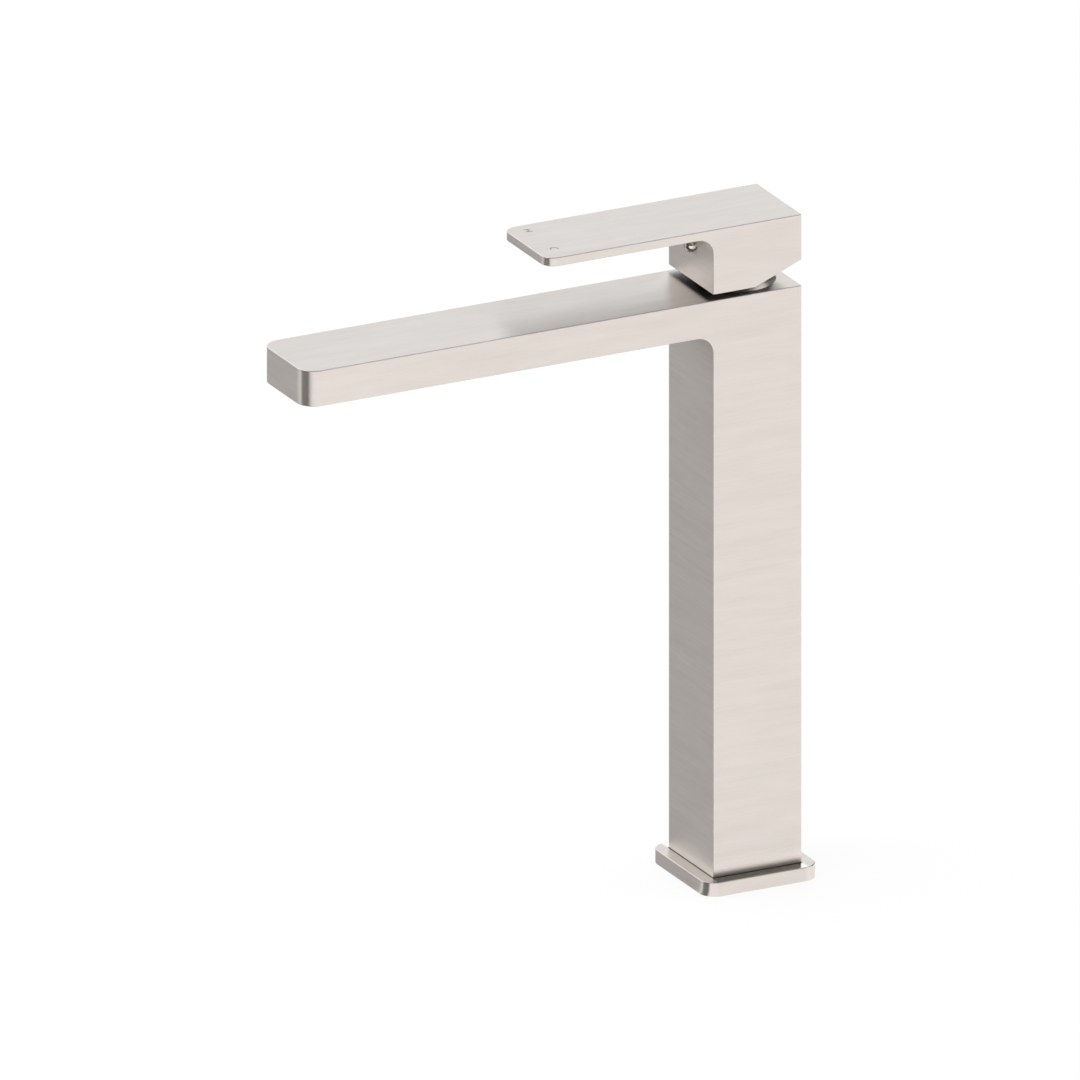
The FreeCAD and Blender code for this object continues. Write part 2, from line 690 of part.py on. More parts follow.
cartridge_nut = new_body("cartridge_nut")
nut_side = sketch(cartridge_nut, "side", "XZ_Plane")
rectangle(nut_side, "housing_neck_radius + fit_gap", "nut_radius", "shoulder", "body_height")
revolve(cartridge_nut, nut_side)
notch = sketch(cartridge_nut, "notch", offset="body_height")
rectangle(notch, "housing_neck_radius", "neck_radius", "-nut_notch / 2", "nut_notch / 2")
NUT_NOTCHES = 4
around(cartridge_nut, pocket(cartridge_nut, notch, "nut_notch"), NUT_NOTCHES)


def three_ports(drawing):
    """The hot, cold and mixed-water ports."""
    circle(drawing, "port_radius", "-port_spread", "-port_forward")
    circle(drawing, "port_radius", "port_spread", "-port_forward")
    return circle(drawing, "outlet_port_radius", "0", "outlet_port_back")


def ported_disc(name, bottom, top):
    """A round plate of the cartridge's inside with the three ports through it."""
    plate = new_body(name)
    disc = circle(sketch(plate, "disc", offset=bottom), "cavity_radius")
    pad(plate, disc, f"({top}) - ({bottom})")
    pocket(plate, three_ports(sketch(plate, "ports", offset=top)), f"({top}) - ({bottom})")
    return plate


base_seal = ported_disc("base_seal", "seat_floor", "base_bottom")
cartridge_base = ported_disc("cartridge_base", "base_bottom", "base_top")
disc_seal = ported_disc("disc_seal", "base_top", "fixed_bottom")
fixed_disc = ported_disc("fixed_disc", "fixed_bottom", "fixed_top")

# The moving disc and its carrier. At rest they sit half their travel behind the axis, and the recess
# under the disc joins only the mixed-water port.
moving_disc = new_body("moving_disc")
moving_round = circle(
    sketch(moving_disc, "disc", offset="fixed_top"), "moving_disc_radius", "0", "disc_y"
)
pad(moving_disc, moving_round, "disc_thickness")
mixing_recess = circle(
    sketch(moving_disc, "recess", offset="fixed_top + mixing_depth"), "mixing_radius", "0", "disc_y"
)
pocket(moving_disc, mixing_recess, "mixing_depth")

disc_carrier = new_body("disc_carrier")
carrier_round = circle(
    sketch(disc_carrier, "round", offset="moving_top"), "moving_disc_radius", "0", "disc_y"
)
pad(disc_carrier, carrier_round, "carrier_top - moving_top")
flats = sketch(disc_carrier, "flats", offset="carrier_top")
rectangle(flats, "-cavity_radius", "-carrier_flats / 2", "-cavity_radius", "cavity_radius")
rectangle(flats, "carrier_flats / 2", "cavity_radius", "-cavity_radius", "cavity_radius")
pocket(disc_carrier, flats, "carrier_top - moving_top")
ball_socket = circle(sketch(disc_carrier, "socket", offset="carrier_top"), "ball_radius + ball_gap")
pocket(disc_carrier, ball_socket, "carrier_top - ball_height + ball_radius + ball_gap")

# The swivel turns in the housing. Its slot lets the stem tilt, its legs guide the carrier, and the
# pivot pin lies across it.
swivel = new_body("swivel")
swivel_side = outline(
    sketch(swivel, "side", "XZ_Plane"),
    ("0", "swivel_bottom"),
    ("cavity_radius - running_gap", "swivel_bottom"),
    ("cavity_radius - running_gap", "flange_top"),
    ("swivel_radius", "flange_top"),
    ("swivel_radius", "swivel_top"),
    ("0", "swivel_top"),
)
revolve(swivel, swivel_side)
legs = circle(sketch(swivel, "legs", offset="swivel_bottom - guide_leg"), "cavity_radius - running_gap")
pad(swivel, legs, "guide_leg")
between_legs = sketch(swivel, "between_legs", offset="swivel_bottom")
rectangle(
    between_legs,
    "-carrier_flats / 2 - running_gap",
    "carrier_flats / 2 + running_gap",
    "-cavity_radius",
    "cavity_radius",
)
pocket(swivel, between_legs, "guide_leg")
stem_slot = sketch(swivel, "stem_slot", offset="swivel_top")
slot_ends = ("-knuckle_radius - slot_end_gap", "sweep_back + slot_end_gap")
rectangle(stem_slot, "-half_slot", "half_slot", *slot_ends)
pocket(swivel, stem_slot, "swivel_top - swivel_bottom")
pin_hole = sketch(swivel, "pin_hole", "YZ_Plane", offset="swivel_radius")
circle(pin_hole, "pin_radius", "0", "pivot_height")
pocket(swivel, pin_hole, "2 * swivel_radius")

pivot_pin = crosswise("pivot_pin", "pin_radius", "swivel_radius - pin_recess", "0", "pivot_height")

# The spindle: square stem, knuckle round the pin, arm and ball.
spindle = cut(
    "spindle",
    joined(
        "spindle_solid",
        block(
            "stem",
            ("-stem_width / 2", "stem_width / 2"),
            ("-stem_width / 2", "stem_width / 2"),
            ("pivot_height", "stem_top"),
        ),
        crosswise("knuckle", "knuckle_radius", "stem_width / 2", "0", "pivot_height"),
        upright("arm", "arm_radius", "ball_height", "pivot_height"),
        ball("arm_ball", "ball_radius", "0", "0", "ball_height"),
    ),
    crosswise("pin_bore", "pin_radius + pin_gap", "stem_width", "0", "pivot_height"),
)

# The dome ring: a zone of a ball about the pivot, bored to screw down over the valve seat's neck.
dome_zone = doc.addObject("Part::MultiCommon", "dome_zone")
dome_zone.Shapes = [
    ball("dome_ball", "dome_sphere", "0", "0", "pivot_height"),
    upright("dome_slab", "dome_sphere", "body_height", "body_height + dome_sphere"),
]
dome_ring = cut(
    "dome_ring",
    dome_zone,
    upright("dome_thread", "neck_radius + fit_gap", "body_height", "body_height + neck_rise + fit_gap"),
    upright("dome_hole", "dome_opening", "body_height", "body_height + dome_sphere"),
)

# The handle: a cast block with the lever plate, hollow over the dome, with a square socket for the
# stem. The underside is bevelled by the lift angle so that its back clears the body when lifted.
handle = new_body("handle")
handle_side = outline(
    sketch(handle, "side", "YZ_Plane"),
    ("-half_column", "handle_bottom"),
    ("-bevel_forward", "handle_bottom"),
    ("half_column", "handle_bottom + (half_column + bevel_forward) * tan(lift_angle)"),
    ("half_column", "handle_top"),
    ("lever_tip", "handle_top"),
    ("lever_tip", "lever_under"),
    ("-half_column", "lever_under"),
)
pad(handle, handle_side, "column_width", symmetric=True)


def cavity_corner(edge):
    """Whether an edge is an upright corner of the handle's cavity."""
    half_cavity = sheet.column_width / 2 - sheet.handle_wall
    middle = edge.CenterOfMass
    at_corner = abs(abs(middle.x) - half_cavity) < NEAR and abs(abs(middle.y) - half_cavity) < NEAR
    return along(edge, "z") and at_corner


fillet(handle, "underside", "lever_fillet", inner_angle(lever_underside))
fillet(handle, "tip", "lever_tip_round", upright_at(lever_front))
fillet(handle, "edges", "edge_round", lambda edge: True)
cavity = sketch(handle, "cavity", offset="cavity_top")
rectangle(cavity, "-half_cavity", "half_cavity", "-half_cavity", "half_cavity")
pocket(handle, cavity, "cavity_top - handle_bottom")
fillet(handle, "cavity_corners", "cavity_round", cavity_corner)
stem_socket = sketch(handle, "stem_socket", offset="stem_top + socket_end_gap")
rectangle(stem_socket, "-half_socket", "half_socket", "-half_socket", "half_socket")
pocket(handle, stem_socket, "stem_rise + socket_end_gap")
screw_hole = sketch(handle, "screw_hole", "XZ_Plane", offset="half_column")
circle(screw_hole, "screw_radius", "0", "screw_height")
pocket(handle, screw_hole, "half_column - stem_width / 2")

# The grub screw that holds the handle on the stem, and the domed cap over its hole.
hexagon = doc.addObject("Part::Prism", "screw_hexagon")
hexagon.Polygon = 6
hexagon.Placement.Rotation = FreeCAD.Rotation(FreeCAD.Vector(1, 0, 0), 90)
bind(hexagon, Circumradius="hex_key / sqrt(3)", Height="hex_key_depth")
place(hexagon, "0", "screw_front + hex_key_depth", "screw_height")
grub_screw = cut(
    "grub_screw",
    lengthwise("screw_bar", "screw_radius", "-stem_width / 2", "screw_front", "screw_height"),
    hexagon,
)

button = doc.addObject("Part::Sphere", "button")
button.Angle1 = 0
button.Placement.Rotation = FreeCAD.Rotation(FreeCAD.Vector(1, 0, 0), 90)
bind(button, Radius="button_radius")
place(button, "0", "-half_column", "screw_height")
screw_cap = joined(
    "screw_cap",
    button,
    lengthwise("shank", "screw_radius", "-half_column + button_shank", "-half_column", "screw_height"),
)

NODES = (
    spout_body,
    base_plate,
    deck_gasket,
    foot_insert,
    hot_riser,
    cold_riser,
    riser_seals,
    valve_seat,
    spout_tube,
    spout_tube_seals,
    aerator_holder,
    aerator_housing,
    aerator_grid,
    aerator_washer,
    cartridge_housing,
    cartridge_nut,
    base_seal,
    cartridge_base,
    disc_seal,
    fixed_disc,
    moving_disc,
    disc_carrier,
    swivel,
    pivot_pin,
    spindle,
    dome_ring,
    handle,
    grub_screw,
    screw_cap,
)


def check(nodes):
    """Stop on a failed object or on a piece with no sound solid."""
    doc.recompute()
    for thing in doc.Objects:
        faults = {"Invalid", "Error"} & set(thing.State)
        assert not faults, f"{thing.Name}: {faults}"
    for node in nodes:
        shape = node.Shape
        assert not shape.isNull() and shape.isValid() and shape.Solids, f"{node.Label} has no sound solid"


def export(nodes):
    """Write each piece to parts/ under its label."""
    os.makedirs("parts", exist_ok=True)
    for node in nodes:
        node.Shape.exportStep(f"parts/{node.Label}.step")
        print(f"{node.Label}: {len(node.Shape.Solids)} solid, {node.Shape.Volume / 1000:.2f} cm3")


check(NODES)
export(NODES)
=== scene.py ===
"""A tall single-lever basin mixer in brushed nickel, dressed for a studio picture.

Metres, in the model's own frame: the column's axis is Z, the spout and the lever point to -Y, and the
hot side is -X.
"""

import math

import bpy
import numpy as np
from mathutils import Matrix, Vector


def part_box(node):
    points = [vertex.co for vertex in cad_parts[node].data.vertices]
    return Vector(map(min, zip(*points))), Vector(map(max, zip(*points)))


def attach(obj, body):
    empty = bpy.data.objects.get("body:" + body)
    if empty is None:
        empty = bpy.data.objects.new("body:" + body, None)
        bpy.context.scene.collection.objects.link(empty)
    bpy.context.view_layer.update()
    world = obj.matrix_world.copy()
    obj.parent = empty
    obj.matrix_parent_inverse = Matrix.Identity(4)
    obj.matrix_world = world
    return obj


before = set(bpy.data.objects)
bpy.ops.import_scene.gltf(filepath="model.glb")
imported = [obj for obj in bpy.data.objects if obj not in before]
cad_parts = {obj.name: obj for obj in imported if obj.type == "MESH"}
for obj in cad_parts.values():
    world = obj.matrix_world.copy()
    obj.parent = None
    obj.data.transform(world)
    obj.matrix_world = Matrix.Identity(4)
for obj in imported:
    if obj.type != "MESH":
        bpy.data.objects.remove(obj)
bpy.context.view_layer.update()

# ---- The shell and the base plate ----
# The square column with the bar spout is welded from brass sheet, the aerator's boss is brazed into the
# spout and the base plate is cut from bar. All are nickel plated and brushed, and the wheel reaches less
# well into the corners where the column's right and left faces meet the plate.
NICKEL = (0.815, 0.755, 0.706, 1.0)
NICKEL_WORN = (0.745, 0.682, 0.630, 1.0)
WEAR_RANGE = (0.3, 0.7)
BRUSHED_ROUGHNESS = (0.28, 0.38)
BRUSHED_ANISOTROPY = 0.92
QUARTER_TURN = 0.25
CROSSWISE_FROM = 0.7
STREAKS_PER_METRE = 1300.0
STREAK_STRETCH = 0.035
STREAK_DEPTH = 2.5e-7
BANDS_PER_METRE = 260.0
BAND_STRETCH = 0.12
JOINT_DARK = (0.20, 0.18, 0.165, 1.0)
JOINT_RISE = 0.00025
JOINT_REACH = 0.0215
FOOT_BLEND = 0.010
FOOT_SMOOTHNESS = 0.45
FOOT_SIDES = (0.0195, 0.0209)
FOOT_ENDS = (0.0222, 0.0207)


def add_node(tree, kind, inputs=None, **settings):
    """One shader node: its settings, then its inputs, each linked to a socket or set to a value."""
    node = tree.nodes.new("ShaderNode" + kind)
    for name, value in settings.items():
        setattr(node, name, value)
    for key, value in (inputs or {}).items():
        if isinstance(value, bpy.types.NodeSocket):
            tree.links.new(value, node.inputs[key])
        else:
            node.inputs[key].default_value = value
    return node


def calculate(tree, operation, *numbers):
    """The output of one Math node."""
    return add_node(tree, "Math", dict(enumerate(numbers)), operation=operation).outputs[0]


def product(tree, first, *others):
    """Some numbers multiplied together."""
    for other in others:
        first = calculate(tree, "MULTIPLY", first, other)
    return first


def ramp(tree, value, low, high, curve="LINEAR"):
    """How far a value has gone from low to high, between 0 and 1. Low may be the larger of the two."""
    span = {"Value": value, "From Min": low, "From Max": high}
    return add_node(tree, "MapRange", span, interpolation_type=curve).outputs[0]


def mix_numbers(tree, share, first, second):
    """A mix of two numbers: first where the share is 0, second where it is 1."""
    return add_node(tree, "Mix", {0: share, 2: first, 3: second}).outputs[0]


def mix_colours(tree, share, first, second):
    """A mix of two colours: first where the share is 0, second where it is 1."""
    return add_node(tree, "Mix", {0: share, 6: first, 7: second}, data_type="RGBA").outputs[2]


def noise(tree, place, scale, detail=2.0, stretch=(1.0, 1.0, 1.0)):
    """Noise between 0 and 1 with about scale grains to the metre, drawn out where its stretch is small."""
    stretched = add_node(tree, "Mapping", {"Vector": place, "Scale": stretch}).outputs[0]
    inputs = {"Vector": stretched, "Scale": scale, "Detail": detail}
    return add_node(tree, "TexNoise", inputs).outputs["Fac"]


def new_finish(name, **sockets):
    """An empty finish: its material, its node tree and its shader with the given sockets set."""
    material = bpy.data.materials.new(name)
    material.use_nodes = True
    tree = material.node_tree
    shader = tree.nodes["Principled BSDF"]
    for socket, value in sockets.items():
        shader.inputs[socket.replace("_", " ").title()].default_value = value
    return material, tree, shader


def set_colour(tree, shader, share, first, second):
    """The finish's colour, mixed from two by a share."""
    tree.links.new(mix_colours(tree, share, first, second), shader.inputs["Base Color"])


def set_roughness(tree, shader, pattern, smoothest, roughest):
    """The finish's roughness, from the smoothest where a pattern is 0 to the roughest where it is 1."""
    rough = calculate(tree, "MULTIPLY_ADD", pattern, roughest - smoothest, smoothest)
    tree.links.new(rough, shader.inputs["Roughness"])


def set_bump(tree, shader, pattern, depth):
    """The finish's relief, which is a depth in metres where a pattern is 1."""
    bump = add_node(tree, "Bump", {"Height": pattern, "Distance": depth})
    tree.links.new(bump.outputs[0], shader.inputs["Normal"])


def cover(tree, shader, share, colour):
    """Lay a colour over the one that the finish has, by a share."""
    set_colour(tree, shader, share, shader.inputs["Base Color"].links[0].from_socket, colour)


def column_place(tree):
    """The distances from the column's axis in X and in Y, and the height."""
    x, y, z = add_node(tree, "SeparateXYZ", {0: add_node(tree, "TexCoord").outputs["Object"]}).outputs
    return calculate(tree, "ABSOLUTE", x), calculate(tree, "ABSOLUTE", y), z


def dress(finish, *names):
    """Give a finish to CAD nodes as they stand."""
    for name in names:
        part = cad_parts[name]
        if not part.material_slots:
            part.data.materials.append(finish)
        for slot in part.material_slots:
            slot.material = finish


def brushed_nickel(name):
    """Satin nickel, brushed along Y, or crosswise along X on faces that look along Y.

    Fine streaks and broad bands are both noise, drawn out along the brushing. The drawn-out shine has
    its tangent level on upright faces and along Y on flat ones: the cross product of the upward
    direction and the normal, plus the square of the normal's Z along Y.
    """
    material, tree, shader = new_finish(
        name, metallic=1.0, anisotropic=BRUSHED_ANISOTROPY, anisotropic_rotation=QUARTER_TURN
    )
    coordinates = add_node(tree, "TexCoord").outputs
    place, normal = coordinates["Object"], coordinates["Normal"]
    faces = add_node(tree, "SeparateXYZ", {0: normal}).outputs
    crosswise = calculate(tree, "GREATER_THAN", calculate(tree, "ABSOLUTE", faces[1]), CROSSWISE_FROM)

    def brushed_noise(scale, stretch):
        along_y = noise(tree, place, scale, stretch=(1.0, stretch, 1.0))
        along_x = noise(tree, place, scale, stretch=(stretch, 1.0, 1.0))
        return mix_numbers(tree, crosswise, along_y, along_x)

    streaks = brushed_noise(STREAKS_PER_METRE, STREAK_STRETCH)
    bands = brushed_noise(BANDS_PER_METRE, BAND_STRETCH)
    wear = ramp(tree, mix_numbers(tree, 0.5, streaks, bands), *WEAR_RANGE)
    set_colour(tree, shader, wear, NICKEL_WORN, NICKEL)
    set_roughness(tree, shader, streaks, *BRUSHED_ROUGHNESS)
    set_bump(tree, shader, streaks, STREAK_DEPTH)
    upward = (0.0, 0.0, 1.0)
    level = add_node(tree, "VectorMath", {0: upward, 1: normal}, operation="CROSS_PRODUCT").outputs[0]
    lengthwise = add_node(tree, "CombineXYZ", {"Y": calculate(tree, "POWER", faces[2], 2.0)}).outputs[0]
    grain = add_node(tree, "VectorMath", {0: level, 1: lengthwise}, operation="ADD").outputs[0]
    turned = {"vector_type": "VECTOR", "convert_from": "OBJECT", "convert_to": "WORLD"}
    tangent = add_node(tree, "VectorTransform", {0: grain}, **turned).outputs[0]
    tree.links.new(tangent, shader.inputs["Tangent"])
    return material, tree, shader


def shell_finish():
    """Brushed nickel with a fine dark joint line where the column stands on the plate, and smoother just
    above it on the column's right and left faces."""
    material, tree, shader = brushed_nickel("shell_nickel")
    across, along, height = column_place(tree)
    plate_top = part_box("base_plate")[1].z
    joint = calculate(tree, "COMPARE", height, plate_top, JOINT_RISE)
    reached = calculate(tree, "LESS_THAN", calculate(tree, "MAXIMUM", across, along), JOINT_REACH)
    cover(tree, shader, product(tree, joint, reached), JOINT_DARK)
    foot = product(
        tree,
        ramp(tree, height, plate_top + FOOT_BLEND, plate_top, "SMOOTHSTEP"),
        calculate(tree, "GREATER_THAN", height, plate_top - JOINT_RISE),
        ramp(tree, across, *FOOT_SIDES),
        ramp(tree, along, *FOOT_ENDS),
    )
    brushed = shader.inputs["Roughness"].links[0].from_socket
    smoother = calculate(tree, "MULTIPLY_ADD", foot, -FOOT_SMOOTHNESS, 1.0)
    tree.links.new(product(tree, brushed, smoother), shader.inputs["Roughness"])
    return material


dress(shell_finish(), "spout_body", "base_plate", "aerator_holder")

# ---- The seals ----
# The gasket under the base plate, the O-rings of the risers and the spout tube, and the flat seals of
# the cartridge and the aerator are moulded from black nitrile rubber.
RUBBER = (0.022, 0.022, 0.023, 1.0)
RUBBER_BLOOM = (0.045, 0.045, 0.047, 1.0)
RUBBER_ROUGHNESS = 0.62
BLOOM_SCALE, BLOOM_DETAIL = 220.0, 4.0
MOULD_SCALE, MOULD_DEPTH = 3500.0, 2e-5


def black_rubber():
    """Dull black rubber with a faint grey bloom and a fine mould grain."""
    material, tree, shader = new_finish("black_rubber", roughness=RUBBER_ROUGHNESS)
    place = add_node(tree, "TexCoord").outputs["Object"]
    bloom = noise(tree, place, BLOOM_SCALE, BLOOM_DETAIL)
    set_colour(tree, shader, bloom, RUBBER, RUBBER_BLOOM)
    set_bump(tree, shader, noise(tree, place, MOULD_SCALE), MOULD_DEPTH)
    return material


rubber = black_rubber()
dress(rubber, "deck_gasket", "riser_seals", "spout_tube_seals", "base_seal", "disc_seal", "aerator_washer")

# ---- The brass pieces ----
# The foot insert, the valve seat and the nut that clamps the cartridge are machined from brass bar and
# left bare. The cutter leaves fine rings on them.
BRASS = (0.72, 0.52, 0.25, 1.0)
BRASS_TARNISHED = (0.55, 0.38, 0.18, 1.0)
BRASS_ROUGHNESS = (0.22, 0.34)
TARNISH_SCALE, TARNISH_DETAIL = 90.0, 5.0
RING_SCALE, RING_DISTORTION, RING_DEPTH = 700.0, 0.3, 6e-6


def machined_brass():
    """Bare brass with turning rings round the upright axis and patches of tarnish."""
    material, tree, shader = new_finish("machined_brass", metallic=1.0)
    place = add_node(tree, "TexCoord").outputs["Object"]
    tarnish = noise(tree, place, TARNISH_SCALE, TARNISH_DETAIL)
    set_colour(tree, shader, tarnish, BRASS, BRASS_TARNISHED)
    ring_look = {"wave_type": "RINGS", "rings_direction": "Z"}
    ring_inputs = {"Vector": place, "Scale": RING_SCALE, "Distortion": RING_DISTORTION}
    rings = add_node(tree, "TexWave", ring_inputs, **ring_look).outputs["Fac"]
    set_roughness(tree, shader, rings, *BRASS_ROUGHNESS)
    set_bump(tree, shader, rings, RING_DEPTH)
    return material


dress(machined_brass(), "foot_insert", "valve_seat", "cartridge_nut")

# ---- The pipes and the steel pieces ----
# The two risers and the spout tube are drawn stainless pipe. The spindle, its pin and the grub screw
# are plain steel, cut and ground.
STEEL = (0.60, 0.59, 0.58, 1.0)
STEEL_DARK = (0.44, 0.43, 0.42, 1.0)
STEEL_ROUGHNESS = (0.22, 0.36)
LINE_SCALE, LINE_DETAIL, LINE_DEPTH = 2200.0, 3.0, 5e-6
LINE_STRETCH = 0.02


def drawn_steel(name, stretch):
    """Plain steel with drawing lines along one axis, which has the small stretch."""
    material, tree, shader = new_finish(name, metallic=1.0)
    place = add_node(tree, "TexCoord").outputs["Object"]
    lines = noise(tree, place, LINE_SCALE, LINE_DETAIL, stretch)
    set_colour(tree, shader, lines, STEEL_DARK, STEEL)
    set_roughness(tree, shader, lines, *STEEL_ROUGHNESS)
    set_bump(tree, shader, lines, LINE_DEPTH)
    return material


dress(drawn_steel("upright_steel", (1.0, 1.0, LINE_STRETCH)), "hot_riser", "cold_riser", "spindle")
dress(drawn_steel("lengthwise_steel", (1.0, LINE_STRETCH, 1.0)), "spout_tube", "grub_screw")
dress(drawn_steel("crosswise_steel", (LINE_STRETCH, 1.0, 1.0)), "pivot_pin")

# ---- The plastic pieces ----
# The cartridge's housing, base, carrier and swivel, and the aerator's housing and grid, are moulded
# plastic with the faint grain of a spark-eroded mould.
WHITE_PLASTIC = (0.80, 0.80, 0.77, 1.0)
GREY_PLASTIC = (0.23, 0.24, 0.25, 1.0)
PLASTIC_ROUGHNESS = (0.32, 0.52)
DRIFT_SCALE, DRIFT_TONE = 60.0, 0.86
GRAIN_SCALE, GRAIN_DETAIL, GRAIN_DEPTH = 4200.0, 3.0, 1.5e-5


def toned(colour, factor):
    """A colour made paler or darker by a factor."""
    return tuple(factor * part for part in colour[:3]) + (1.0,)


def moulded_plastic(name, colour):
    """Moulded plastic whose tone drifts a little, with an eroded grain."""
    material, tree, shader = new_finish(name)
    place = add_node(tree, "TexCoord").outputs["Object"]
    set_colour(tree, shader, noise(tree, place, DRIFT_SCALE), toned(colour, DRIFT_TONE), colour)
    grain = noise(tree, place, GRAIN_SCALE, GRAIN_DETAIL)
    set_roughness(tree, shader, grain, *PLASTIC_ROUGHNESS)
    set_bump(tree, shader, grain, GRAIN_DEPTH)
    return material


white_plastic = moulded_plastic("white_plastic", WHITE_PLASTIC)
dress(white_plastic, "cartridge_housing", "cartridge_base", "disc_carrier")
dress(moulded_plastic("grey_plastic", GREY_PLASTIC), "swivel", "aerator_housing", "aerator_grid")

# ---- The ceramic discs ----
# The two discs are pressed and fired alumina, lapped flat on their running faces until they shine. The
# lower one is fixed in the cartridge's base, and the upper one slides and turns on it.
ALUMINA = (0.86, 0.84, 0.79, 1.0)
ALUMINA_SPECK = (0.74, 0.71, 0.66, 1.0)
CERAMIC_ROUGHNESS = (0.10, 0.18)
SPECK_SCALE, SPECK_DETAIL = 1400.0, 5.0
SPECK_RANGE = (0.62, 0.75)


def lapped_ceramic():
    """Glossy off-white ceramic with a few darker specks."""
    material, tree, shader = new_finish("lapped_ceramic")
    place = add_node(tree, "TexCoord").outputs["Object"]
    specks = noise(tree, place, SPECK_SCALE, SPECK_DETAIL)
    set_colour(tree, shader, ramp(tree, specks, *SPECK_RANGE), ALUMINA, ALUMINA_SPECK)
    set_roughness(tree, shader, specks, *CERAMIC_ROUGHNESS)
    return material


dress(lapped_ceramic(), "fixed_disc", "moving_disc")

# ---- The dome ring and the button ----
# The dome ring over the cartridge and the domed cap over the grub screw are turned brass, nickel
# plated. The cap is buffed bright, which leaves only hairlines, and the ring is buffed to a soft sheen.
BRIGHT_NICKEL = (0.66, 0.62, 0.58, 1.0)
SOFT_NICKEL = (0.82, 0.74, 0.68, 1.0)
CAP_ROUGHNESS = (0.05, 0.13)
RING_ROUGHNESS = (0.28, 0.36)
HAIRLINE_SCALE, HAIRLINE_DETAIL = 2600.0, 4.0
HAIRLINE_STRETCH = (1.0, 1.0, 0.05)
HAIRLINE_TONE = 0.91


def polished_nickel(name, plating, roughness):
    """Buffed nickel of a colour and a range of roughness, with hairlines from the buffing wheel."""
    material, tree, shader = new_finish(name, metallic=1.0)
    place = add_node(tree, "TexCoord").outputs["Object"]
    hairlines = noise(tree, place, HAIRLINE_SCALE, HAIRLINE_DETAIL, HAIRLINE_STRETCH)
    set_colour(tree, shader, hairlines, toned(plating, HAIRLINE_TONE), plating)
    set_roughness(tree, shader, hairlines, *roughness)
    return material


dress(polished_nickel("bright_nickel", BRIGHT_NICKEL, CAP_ROUGHNESS), "screw_cap")
dress(polished_nickel("soft_nickel", SOFT_NICKEL, RING_ROUGHNESS), "dome_ring")

# ---- The handle ----
# The block and the lever plate are one casting, nickel plated and brushed like the shell. The cavity
# over the dome ring and the block's flat underside are painted near black as shade, and the faces that
# look down under the lever are painted darker as shade.
# Painted shade: the near-black colour laid on the cavity, on the block's underside and partly on the faces
# under the lever.
PAINTED_SHADE_DARK = (0.055, 0.050, 0.047, 1.0)
CAVITY_HALF = 0.01805
CAVITY_TOP = 0.2801
UNDERSIDE = 0.2709
DOWNWARD_FROM = -0.9
UNDERSIDE_SHADE_SHARE = 0.60


def handle_finish():
    """Brushed nickel outside, with painted shade: darker where it looks down, and near black in the cavity
    and on the block's underside."""
    material, tree, shader = brushed_nickel("handle_nickel")
    across, along, height = column_place(tree)
    upward = add_node(tree, "SeparateXYZ", {0: add_node(tree, "TexCoord").outputs["Normal"]}).outputs[2]
    # Painted shade: near black in the cavity over the dome ring and on the block's underside, and partly
    # dark on faces that look down.
    cavity = product(
        tree,
        calculate(tree, "LESS_THAN", height, CAVITY_TOP),
        calculate(tree, "LESS_THAN", calculate(tree, "MAXIMUM", across, along), CAVITY_HALF),
    )
    cavity_and_underside_shade = calculate(tree, "MAXIMUM", cavity, calculate(tree, "LESS_THAN", height, UNDERSIDE))
    downward_shade = product(tree, calculate(tree, "LESS_THAN", upward, DOWNWARD_FROM), UNDERSIDE_SHADE_SHARE)
    cover(tree, shader, calculate(tree, "MAXIMUM", cavity_and_underside_shade, downward_shade), PAINTED_SHADE_DARK)
    return material


dress(handle_finish(), "handle")

# ---- The marks ----
# Two small letters near the lever's tip show which way the water turns hot or cold. They are printed on
# the plated top in thin grey ink.
MARK_GREY = (0.12, 0.115, 0.11, 1.0)
MARK_ROUGHNESS = 0.5
INK_SCALE, INK_TONE = 2500.0, 1.5
MARK_HEIGHT = 0.0030
MARK_WIDTH = 0.0024
MARK_STROKE = 0.00042
MARK_FILM = 0.00003
MARK_LEAN = 0.25
MARK_Y = -0.0915
HOT_X, COLD_X = -0.0140, 0.0105
BOW_ENDS, BOW_POINTS = (50, 310), 25


def new_object(name, data):
    """A new object in the scene, made of a mesh, a lamp or a camera."""
    thing = bpy.data.objects.new(name, data)
    bpy.context.scene.collection.objects.link(thing)
    return thing


def ribbon_letter(name, strokes, centre):
    """A flat letter: each stroke is a path in the letter's square, widened to both sides by half a
    stroke along its own normal, leaned over, and laid on the lever's top around a centre."""
    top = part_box("handle")[1].z + MARK_FILM
    points, faces = [], []
    for path in strokes:
        line = np.asarray(path, float) * (MARK_WIDTH, MARK_HEIGHT)
        run = np.gradient(line, axis=0)
        run /= np.linalg.norm(run, axis=1, keepdims=True)
        side = np.stack([-run[:, 1], run[:, 0]], axis=1) * MARK_STROKE / 2
        first = len(points)
        edges = np.stack([line + side, line - side], axis=1).reshape(-1, 2)
        edges[:, 0] += MARK_LEAN * edges[:, 1]
        points += [(centre + x, MARK_Y + y, top) for x, y in edges]
        step = first + 2 * np.arange(len(line) - 1)
        faces += np.stack([step, step + 1, step + 3, step + 2], axis=1).tolist()
    mesh = bpy.data.meshes.new(name)
    mesh.from_pydata(points, [], faces)
    return new_object(name, mesh)


def mark_print():
    """Thin grey ink, a little uneven."""
    material, tree, shader = new_finish("mark_print", roughness=MARK_ROUGHNESS)
    place = add_node(tree, "TexCoord").outputs["Object"]
    set_colour(tree, shader, noise(tree, place, INK_SCALE), MARK_GREY, toned(MARK_GREY, INK_TONE))
    return material


